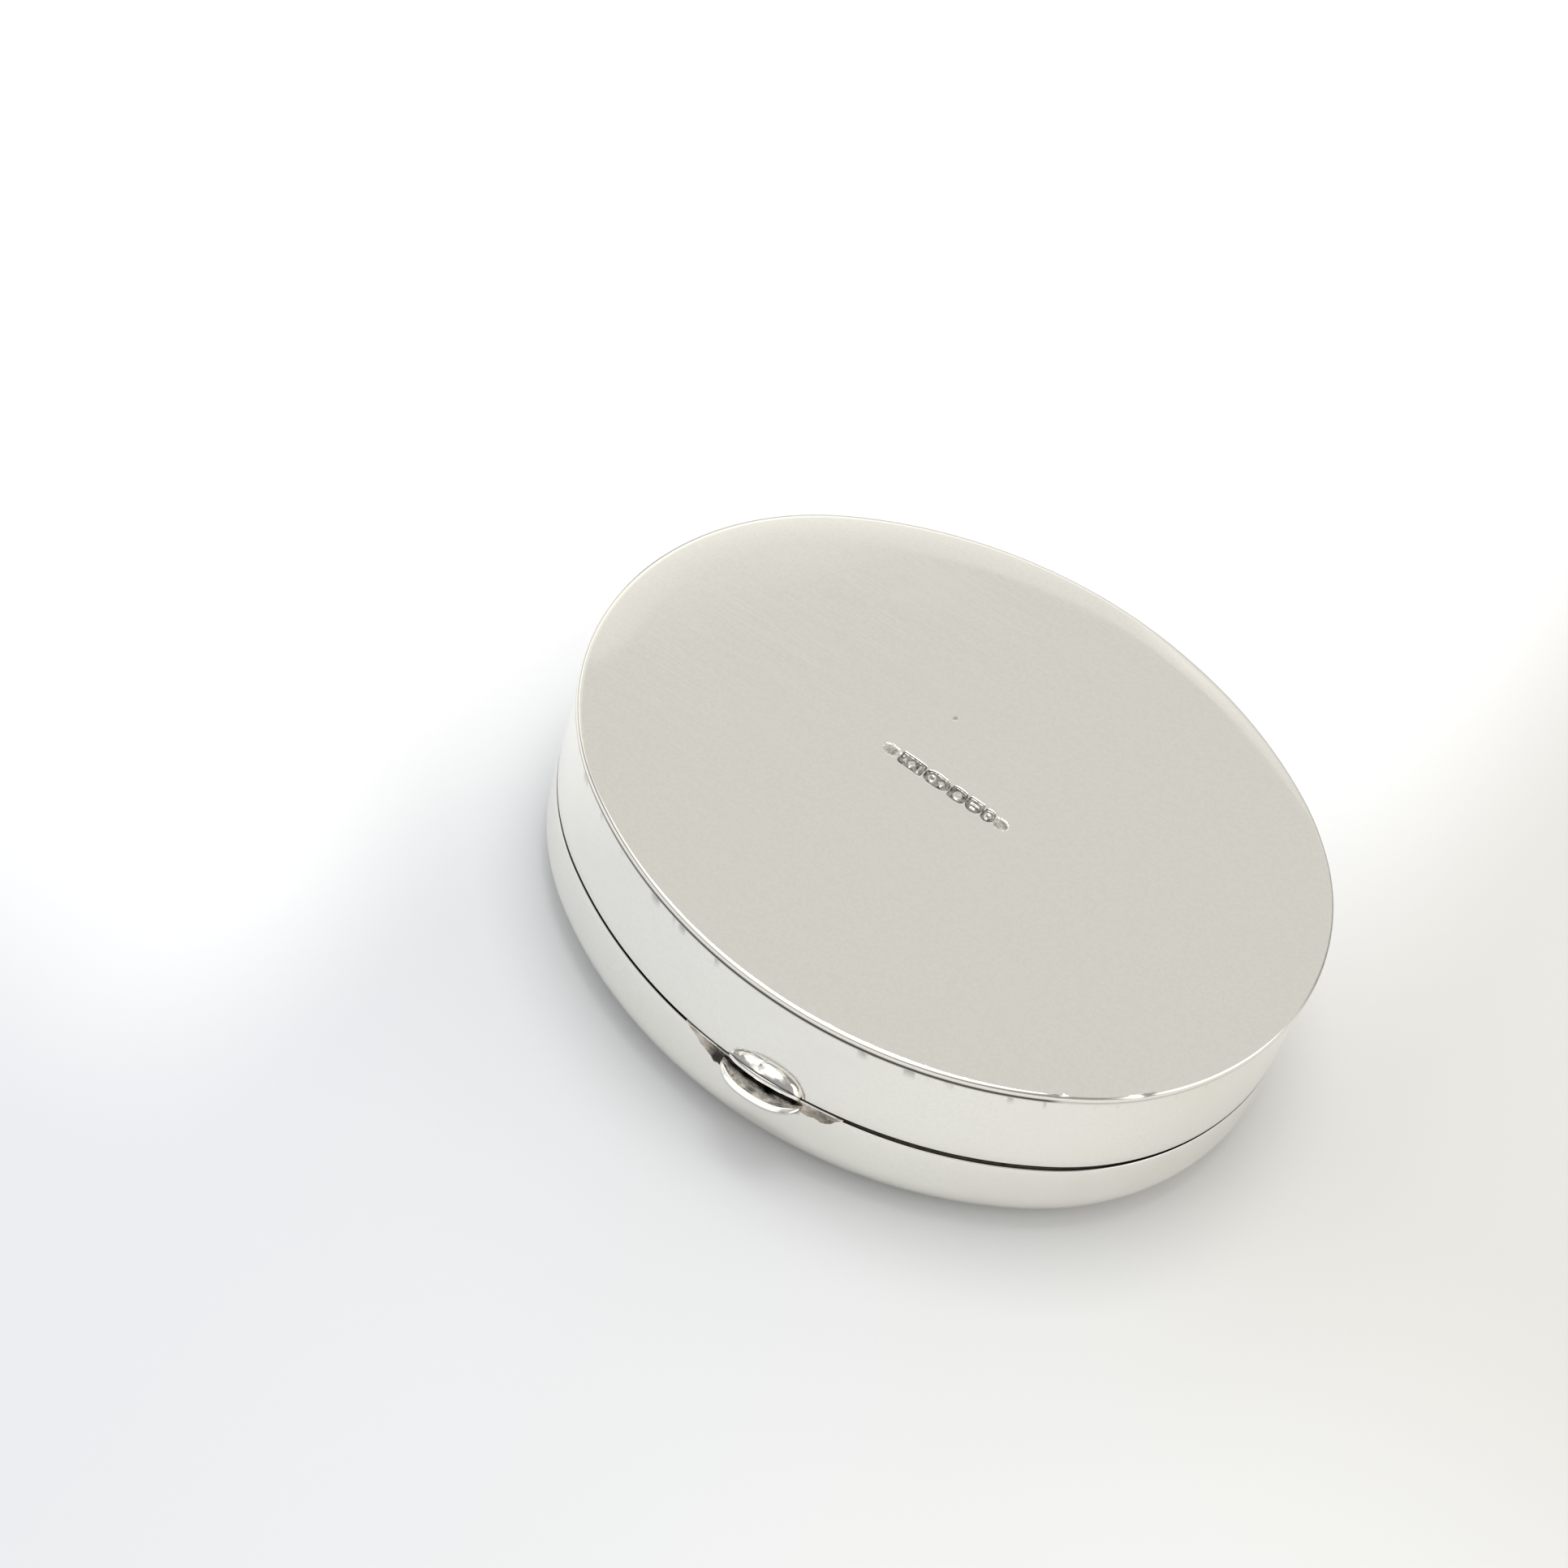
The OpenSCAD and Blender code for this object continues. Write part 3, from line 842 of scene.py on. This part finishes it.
def shelf_section(t):
    """The lid's shelf at t: a dished, tarnished face inside a bright lip, and a receding underside. A band
    near the wall is painted black as the lug's shade and dark reflection, and under the lip is painted dark
    as shade.
    """
    round_plan = max(0.0, 1 - abs(t) ** 2.4) ** 0.5
    reach = 0.04 + (SHELF_REACH - 0.04) * round_plan
    lip = min(0.42, reach * 0.4)
    lift = -0.10 - 0.22 * (1 - round_plan)
    dish = 0.12 * round_plan
    points = [(BURIED, -0.12, 1.0, 0.3)]
    for i in range(11):
        share = i / 10
        out = mix(-0.02, reach - 0.95 * lip, share)
        lump = 0.030 * rough_noise(t * 2.5, share * 1.5, 4.0, 0.30) * math.sin(math.pi * share)
        z = lift - 0.04 - dish * math.sin(math.pi * share ** 0.7) + lump
        streak = rough_noise(t * 3.1, share * 3.0, 9.0, 1.0)
        # a band near the wall is painted black, as the lug's shade and dark reflection, fading out across
        # the face
        dark = 1.0 - smooth(0.34, 0.46, share + 0.08 * streak) + 0.20 * smooth(0.30, 0.7, streak)
        points.append((out, z, clamp(dark), clamp(0.55 + 0.8 * streak)))
    crown, fall = 1.9 * lip, 0.12 * lip
    lip_points = arc((reach - lip, lift - crown), crown, 90, 62, 6)[1:]
    edge = lip_points[-1]
    lip_points += arc((edge[0] - 0.47 * fall, edge[1] - 0.88 * fall), fall, 50, -40, 5)
    points += [(o, z, 0.0, 0.0) for o, z in lip_points]
    foot = mix(lift, SHELF_LOW.z - SEAM, 0.9)
    # under the lip is painted dark as shade
    points += [(reach - lip * 0.14, lift - lip * 0.62, 0.9, 0.0),
               (reach - lip * 0.30, lift - lip * 0.80, 1.0, 0.0),
               (reach - lip * 0.55, lift - lip * 0.95, 0.9, 0.2),
               (reach * 0.72, mix(lift, foot, 0.45), 0.3, 0.2),
               (reach * 0.40, mix(lift, foot, 0.75), 0.1, 0.1),
               (reach * 0.10, foot, 0.1, 0.1), (BURIED, foot - 0.02, 0.1, 0.1)]
    return points


def build_thumb(name, node, section_at, half, middle, body, slices=72):
    """One half of the thumb-piece, whose sections run along the front wall."""
    points, wear_and_shade = [], []
    for i in range(slices + 1):
        t = -math.cos(math.pi * i / slices)
        x = middle + half * t * THUMB_ENDS
        section = section_at(t * THUMB_ENDS)
        for out, z, dark, brown in section:
            points.append((*OVAL.front(x, out), SEAM + z))
            wear_and_shade.append((dark, brown, THUMB_POLISH))
    faces = capped(slices + 1, len(section))
    new_piece(name, points, faces, body, [node], THUMB, wear_and_shade, 40)


# ---- solder along the lid's edge ----

# how far down each run reaches: (x, depth)
STAIN_LEFT = [(-5.1, 0.02), (-4.6, 0.30), (-3.9, 0.75), (-3.2, 1.15), (-2.4, 1.42), (-1.2, 1.40)]
STAIN_RIGHT = [(1.8, 1.05), (3.2, 1.02), (4.2, 1.08), (4.6, 0.85), (4.8, 0.40), (5.2, 0.02)]
STAIN_TOP = -0.06  # under the seam
STAIN_BACK = -0.10  # the run's hidden back, inside the band


def build_stain(name, node, knots, darkest, columns=90, rows=16):
    """A thin uneven run of solder on the lid's band, from the seam down to a ragged lower edge.

    darkest is where it is darkest along x, how widely, and how dark.
    """
    low, high = knots[0][0], knots[-1][0]
    points, wear_and_shade = [], []
    for i in range(columns + 1):
        x = mix(low, high, i / columns)
        ragged = 1 + 0.12 * rough_noise(x, 0, 2.0, 0.5)
        depth = max(0.02, table(knots, x) * ragged)
        ends = smooth(low, low + 0.4, x) * smooth(high, high - 0.3, x)
        section = []
        for j in range(rows + 1):
            share = j / rows
            z = STAIN_TOP - depth * share
            fade = ends * smooth(1.0, 0.75, share) * smooth(0.0, 0.06, share)
            lump = 0.5 + 0.5 * rough_noise(x, z, 5.0, 0.4)
            out = -0.02 + fade * (0.035 + 0.02 * lump)
            near = math.exp(-((x - darkest[0]) / darkest[1]) ** 2)
            dark = clamp(darkest[2] * near * (0.5 + lump) + 0.25 * smooth(0.5, 1.2, lump))
            section.append((out, z, dark * fade, clamp(fade * (0.7 + 0.7 * lump))))
        section += [(STAIN_BACK, STAIN_TOP - depth, 0.0, 0.0), (STAIN_BACK, STAIN_TOP, 0.0, 0.0)]
        for out, z, dark, brown in section:
            points.append((*OVAL.front(x, out), SEAM + z))
            wear_and_shade.append((dark, brown, 0.0))
    faces = capped(columns + 1, rows + 3)
    new_piece(name, points, faces, "lid", [node], SOLDER, wear_and_shade, 60)


# ---- the hinge ----

KNUCKLE_SIDES = 96
KNUCKLE_EDGE = 0.06
KNUCKLE_STEPS = 10
KNUCKLE_WEAR = 0.010
BORE_RADIUS = 0.39
WEB_REACH = 0.9
WEB_LOW = 0.1
BEARER_PLATE = 0.45
BEARER_ROOF = 0.9
BEARER_FOOT = 0.05  # over the seam
BEARER_STEP = 0.6
CORNER_CUT = 0.05
PIN_SIDES = 48
PIN_HALF = 4.5  # the straight part of the pin, without its peened ends
PIN_STEPS = 18


def knuckle_reach(angle, radius):
    """How far the knuckle's outside is from the axis: a round tube with a web towards its bearer."""
    back, rise = -math.cos(angle), math.sin(angle)
    if back <= 0 or rise <= back * WEB_LOW / WEB_REACH:
        return radius
    return max(radius, min(WEB_REACH / back, WEB_REACH / rise, radius * 1.4))


def build_knuckle(node, body, up):
    """One hinge tube with rounded ends, its bore, and its web. up is 1 on the body and -1 on the lid."""
    low, high = box_mm(node)
    radius = high.y - AXIS_Y
    steps = [i / KNUCKLE_STEPS for i in range(KNUCKLE_STEPS + 1)]
    middle = [mix(low.x + KNUCKLE_EDGE, high.x - KNUCKLE_EDGE, step) for step in steps]
    bore = [high.x] + middle[-2:0:-1] + [low.x]
    ends = [(0.0, KNUCKLE_EDGE, 0.9), (0.3 * KNUCKLE_EDGE, 0.3 * KNUCKLE_EDGE, 0.4)]
    outside = [(low.x + along, inset, dark) for along, inset, dark in ends]
    outside += [(x, 0.0, 0.0) for x in middle]
    outside += [(high.x - along, inset, dark) for along, inset, dark in reversed(ends)]
    points, wear_and_shade = [], []
    for k in range(KNUCKLE_SIDES):
        angle = 2 * math.pi * k / KNUCKLE_SIDES
        cos, sin = math.cos(angle), math.sin(angle)
        reach = knuckle_reach(angle, radius)
        # The web, the knuckle ends and the bore are darker.
        web_dark = 0.5 * smooth(radius, radius * 1.1, reach)
        for x, inset, dark in outside:
            worn = KNUCKLE_WEAR * abs(rough_noise(x, cos, sin, 0.8))
            here = reach - inset - worn
            points.append((x, AXIS_Y + here * cos, SEAM + up * here * sin))
            wear_and_shade.append((max(dark, web_dark), 0.25 * web_dark, 0.0))
        for x in bore:
            points.append((x, AXIS_Y + BORE_RADIUS * cos, SEAM + up * BORE_RADIUS * sin))
            wear_and_shade.append((0.9, 0.0, 0.0))
    faces = ring_faces(KNUCKLE_SIDES, len(outside) + len(bore))
    new_piece(node + "_mesh", points, faces, body, [node], HINGE, wear_and_shade)


def cut_corners(corners, cut):
    """A closed section with each corner replaced by three points."""
    result = []
    for i, corner in enumerate(corners):
        here = Vector(corner)
        before = (Vector(corners[i - 1]) - here).normalized() * cut
        after = (Vector(corners[(i + 1) % len(corners)]) - here).normalized() * cut
        result += [here + before, here + 0.3 * (before + after), here + after]
    return result


def build_bearer(node, body, up, inset):
    """The channel behind the knuckles: a plate, a roof over them, and a cheek at each end.

    inset is how far inside the wall's outline the channel meets the wall.
    """
    low, high = box_mm(node)
    cheek = NOTCH_HALF + 0.02
    half = [i * BEARER_STEP for i in range(9)] + [NOTCH_HALF - 0.02]
    half += [cheek, mix(cheek, high.x, 0.5), high.x - CORNER_CUT, high.x]
    plate, foot = low.y + BEARER_PLATE, BEARER_FOOT
    top = high.z - SEAM if up > 0 else SEAM - low.z
    points, wear_and_shade = [], []
    for x in [-h for h in reversed(half[1:])] + half:
        wall = math.sqrt((OVAL.side_radius - inset) ** 2 - x ** 2) - OVAL.side_y
        if abs(x) < NOTCH_HALF:
            inner_y, roof = plate, BEARER_ROOF
        else:
            inner_y, roof = mix(plate, wall, 0.5), foot
        corners = [(low.y, foot), (plate, foot), (inner_y, roof), (wall, roof), (wall, top), (low.y, top)]
        shrink = 0.5 * CORNER_CUT if abs(x) == high.x else 0.0
        middle = Vector(((low.y + wall) / 2, (foot + top) / 2))
        for point in cut_corners(corners, CORNER_CUT):
            y, z = point + (middle - point) * shrink
            y -= 0.008 * abs(noise.noise(Vector((x, y, z)) / 0.9)) if y > wall - 0.01 else 0.0
            points.append((x, y, SEAM + up * z))
            deep = smooth(plate - 0.02, plate + 0.02, y) * smooth(BEARER_ROOF + 0.02, BEARER_ROOF - 0.02, z)
            wear_and_shade.append((0.7 * deep, 0.3 * smooth(0.25, 0.05, abs(z - foot)), 0.0))
    faces = capped(2 * len(half) - 1, 18)
    new_piece(node + "_mesh", points, faces, body, [node], INSIDE, wear_and_shade, 30)


def build_pin():
    """The pin, with its two ends peened over a little."""
    reach = PIN_HIGH.x
    end = [(reach, 0.35), (reach - 0.015, 0.62), (reach - 0.04, 0.85), (reach - 0.09, 1.0)]
    profile = [(-x, share) for x, share in end]
    profile += [(mix(-PIN_HALF, PIN_HALF, i / PIN_STEPS), 1.0) for i in range(PIN_STEPS + 1)]
    profile += list(reversed(end))
    points, wear_and_shade = [], []
    for x, share in profile:
        for k in range(PIN_SIDES):
            angle = 2 * math.pi * k / PIN_SIDES
            cos, sin = math.cos(angle), math.sin(angle)
            hammered = 1 - 0.03 * abs(noise.noise(Vector((x, cos, sin)) * 3))
            here = PIN_RADIUS * share * hammered
            points.append((x, AXIS_Y + here * cos, SEAM + here * sin))
            wear_and_shade.append((0.25 * (1 - share), 0.1, 0.0))
    faces = capped(len(profile), PIN_SIDES)
    new_piece("hinge_pin_mesh", points, faces, "box_body", ["hinge_pin"], PIN, wear_and_shade)


build_lid()
build_wall()
build_inner_rim()
build_plate()
build_thumb("body_thumb_mesh", "body_thumb_piece", lug_section, LUG_HALF, THUMB_MIDDLE, "box_body")
build_thumb("lid_thumb_mesh", "lid_thumb_piece", shelf_section, SHELF_HALF, THUMB_MIDDLE, "lid")
build_stain("solder_left_mesh", "thumb_solder_left", STAIN_LEFT, (-2.3, 0.9, 1.1))
build_stain("solder_right_mesh", "thumb_solder_right", STAIN_RIGHT, (4.1, 0.7, 0.5))
for node in ("lid_knuckle_left", "lid_knuckle_right"):
    build_knuckle(node, "lid", -1)
for node in ("body_knuckle_left", "body_knuckle_centre", "body_knuckle_right"):
    build_knuckle(node, "box_body", 1)
build_bearer("lid_hinge_bearer", "lid", -1, LID_THICKNESS)
build_bearer("body_hinge_bearer", "box_body", 1, WALL_THICKNESS)
build_pin()

# ---- floor, light and camera ----

# the floor's and the window's sizes are in metres
FLOOR_HALF = 1.5
# Painted light and shade on the paper: the near colours are painted shade, the right colour a painted
# shadow, the left colour a painted lighter patch.
PAPER_NEAR_LEFT_SHADED, PAPER_NEAR_RIGHT_SHADED = (0.69, 0.705, 0.73), (0.765, 0.765, 0.755)
PAPER_FAR, PAPER_FAR_MOTTLE = (0.95, 0.95, 0.95), (0.97, 0.97, 0.97)
PAPER_LEFT_LIT, PAPER_RIGHT_SHADOW = (0.95, 0.95, 0.95), (0.68, 0.67, 0.64)
NEAR_ACROSS = (-0.03, 0.04)  # along X, where the near paper's painted shade turns from its left colour to its right
NEAR_TO_FAR = (-0.03, 0.06)  # along Y
LEFT_ACROSS, LEFT_AWAY, LEFT_SHARE = (-0.020, -0.034), (-0.045, -0.018), 0.85
RIGHT_ACROSS, RIGHT_AWAY = (0.010, 0.030), (-0.03, 0.005)


def build_floor():
    """A sheet of matt paper with painted light and shade: darker in front of the box and in a painted
    shadow to its right, painted paler to the left and far away.
    """
    half, z = FLOOR_HALF, CAD_BOX[0][2]
    mesh = bpy.data.meshes.new("floor")
    corners = [(-half, -half, z), (half, -half, z), (half, half, z), (-half, half, z)]
    mesh.from_pydata(corners, [], [(0, 1, 2, 3)])
    floor = bpy.data.objects.new("floor", mesh)
    bpy.context.scene.collection.objects.link(floor)
    n = Nodes("paper_with_painted_shade")
    split = n.add("ShaderNodeSeparateXYZ")
    n.link(n.place, split.inputs["Vector"])
    x, y = split.outputs["X"], split.outputs["Y"]
    near = n.mix(n.ramp(x, *NEAR_ACROSS), PAPER_NEAR_LEFT_SHADED, PAPER_NEAR_RIGHT_SHADED)
    far = n.mix(n.noise(40.0, 2.0), PAPER_FAR, PAPER_FAR_MOTTLE)
    left = n.maths("MULTIPLY", n.ramp(x, *LEFT_ACROSS, 0.0, LEFT_SHARE), n.ramp(y, *LEFT_AWAY))
    right = n.maths("MULTIPLY", n.ramp(x, *RIGHT_ACROSS), n.ramp(y, *RIGHT_AWAY))
    paper_with_painted_shade = n.mix(left, n.mix(n.ramp(y, *NEAR_TO_FAR), near, far), PAPER_LEFT_LIT)
    n.link(n.mix(right, paper_with_painted_shade, PAPER_RIGHT_SHADOW), n.shader.inputs["Base Color"])
    n.shader.inputs["Roughness"].default_value = 0.9
    n.shader.inputs["Specular IOR Level"].default_value = 0.2
    mesh.materials.append(n.material)


WINDOW_PLACE = Vector((-0.04, 0.04, 0.45))
WINDOW_SIZE = 0.22
WINDOW_POWER = 0.64  # watts


def build_window():
    """One square soft light, nearly overhead, that points at the origin."""
    data = bpy.data.lights.new("window", "AREA")
    data.shape, data.size, data.energy = "SQUARE", WINDOW_SIZE, WINDOW_POWER
    light = bpy.data.objects.new("window", data)
    bpy.context.scene.collection.objects.link(light)
    light.location = WINDOW_PLACE
    light.rotation_euler = (-WINDOW_PLACE).to_track_quat("-Z", "Y").to_euler()


# the room's light in front of the box (-Y) and behind it (+Y), and where one turns to the other
ROOM_FRONT, ROOM_BACK, ROOM_TURN = 0.36, 0.725, 0.25
ROOM_COLOUR = (1.0, 1.0, 0.99)
# each soft bright patch: its direction, the cosines where it starts and is full, and how much it adds
LAMP_DIRECTION, LAMP_SPREAD = (-0.20, -0.45, 0.870), (0.72, 0.86, 0.0, 0.85)
LOW_LAMP_DIRECTION, LOW_LAMP_SPREAD = (0.914, 0.100, 0.393), (0.86, 0.95, 0.0, 1.1)
# past this plane, to the left at the back, the room is brighter: a step and a slope, high up only
ROOM_EDGE = (0.096, -0.062, 0.0817)
BEYOND_STEP, BEYOND_SLOPE = (0.0005, -0.0015, 0.0, 0.10), (0.0, -0.035, 0.0, 0.45)
BEYOND_HEIGHT = (0.42, 0.60, 0.0, 1.0)


def build_world():
    """A pale room: dimmer in front of the box, brighter behind it, with three soft bright patches."""
    world = bpy.data.worlds.new("studio")
    bpy.context.scene.world = world
    world.use_nodes = True
    tree = world.node_tree
    background = tree.nodes["Background"]
    coord = tree.nodes.new("ShaderNodeTexCoord")

    def ramp(source, knots):
        node = tree.nodes.new("ShaderNodeMapRange")
        node.interpolation_type = "SMOOTHSTEP"
        for key, value in zip(RAMP_SOCKETS, knots):
            node.inputs[key].default_value = value
        tree.links.new(source, node.inputs["Value"])
        return node.outputs["Result"]

    def maths(operation, a, b):
        node = tree.nodes.new("ShaderNodeMath")
        node.operation = operation
        tree.links.new(a, node.inputs[0])
        tree.links.new(b, node.inputs[1])
        return node.outputs[0]

    def side(normal):
        node = tree.nodes.new("ShaderNodeVectorMath")
        node.operation = "DOT_PRODUCT"
        tree.links.new(coord.outputs["Generated"], node.inputs[0])
        node.inputs[1].default_value = normal
        return node.outputs["Value"]

    room = ramp(side((0, 1, 0)), (-ROOM_TURN, ROOM_TURN, ROOM_FRONT, ROOM_BACK))
    edge = side(ROOM_EDGE)
    beyond = maths("ADD", ramp(edge, BEYOND_STEP), ramp(edge, BEYOND_SLOPE))
    lamp = ramp(side(LAMP_DIRECTION), LAMP_SPREAD)
    low_lamp = ramp(side(LOW_LAMP_DIRECTION), LOW_LAMP_SPREAD)
    room = maths("ADD", maths("ADD", room, lamp), low_lamp)
    strength = maths("ADD", room, maths("MULTIPLY", beyond, ramp(side((0, 0, 1)), BEYOND_HEIGHT)))
    tree.links.new(strength, background.inputs["Strength"])
    background.inputs["Color"].default_value = (*ROOM_COLOUR, 1.0)


CAMERA_AIM = Vector((-7.88, -6.14, TOP))  # this and the distance in millimetres
CAMERA_DISTANCE = 242.1
CAMERA_AZIMUTH = math.radians(-16.87)
CAMERA_ELEVATION = math.radians(49.71)
CAMERA_ROLL = math.radians(19.22)
CAMERA_LENS = 100.6


def build_camera():
    data = bpy.data.cameras.new("camera")
    data.lens, data.sensor_width, data.clip_start, data.clip_end = CAMERA_LENS, 36.0, 0.01, 10.0
    camera = bpy.data.objects.new("camera", data)
    bpy.context.scene.collection.objects.link(camera)
    flat = math.cos(CAMERA_ELEVATION)
    ahead = Vector((math.sin(CAMERA_AZIMUTH) * flat, math.cos(CAMERA_AZIMUTH) * flat,
                    -math.sin(CAMERA_ELEVATION)))
    level = ahead.cross(Vector((0, 0, 1))).normalized()
    above = level.cross(ahead)
    right = level * math.cos(CAMERA_ROLL) + above * math.sin(CAMERA_ROLL)
    up = above * math.cos(CAMERA_ROLL) - level * math.sin(CAMERA_ROLL)
    turn = Matrix((right, up, -ahead)).transposed().to_4x4()
    camera.matrix_world = Matrix.Translation((CAMERA_AIM - ahead * CAMERA_DISTANCE) * MM) @ turn
    bpy.context.scene.camera = camera


build_floor()
build_world()
build_window()
build_camera()
bpy.context.scene.view_settings.view_transform = "Standard"
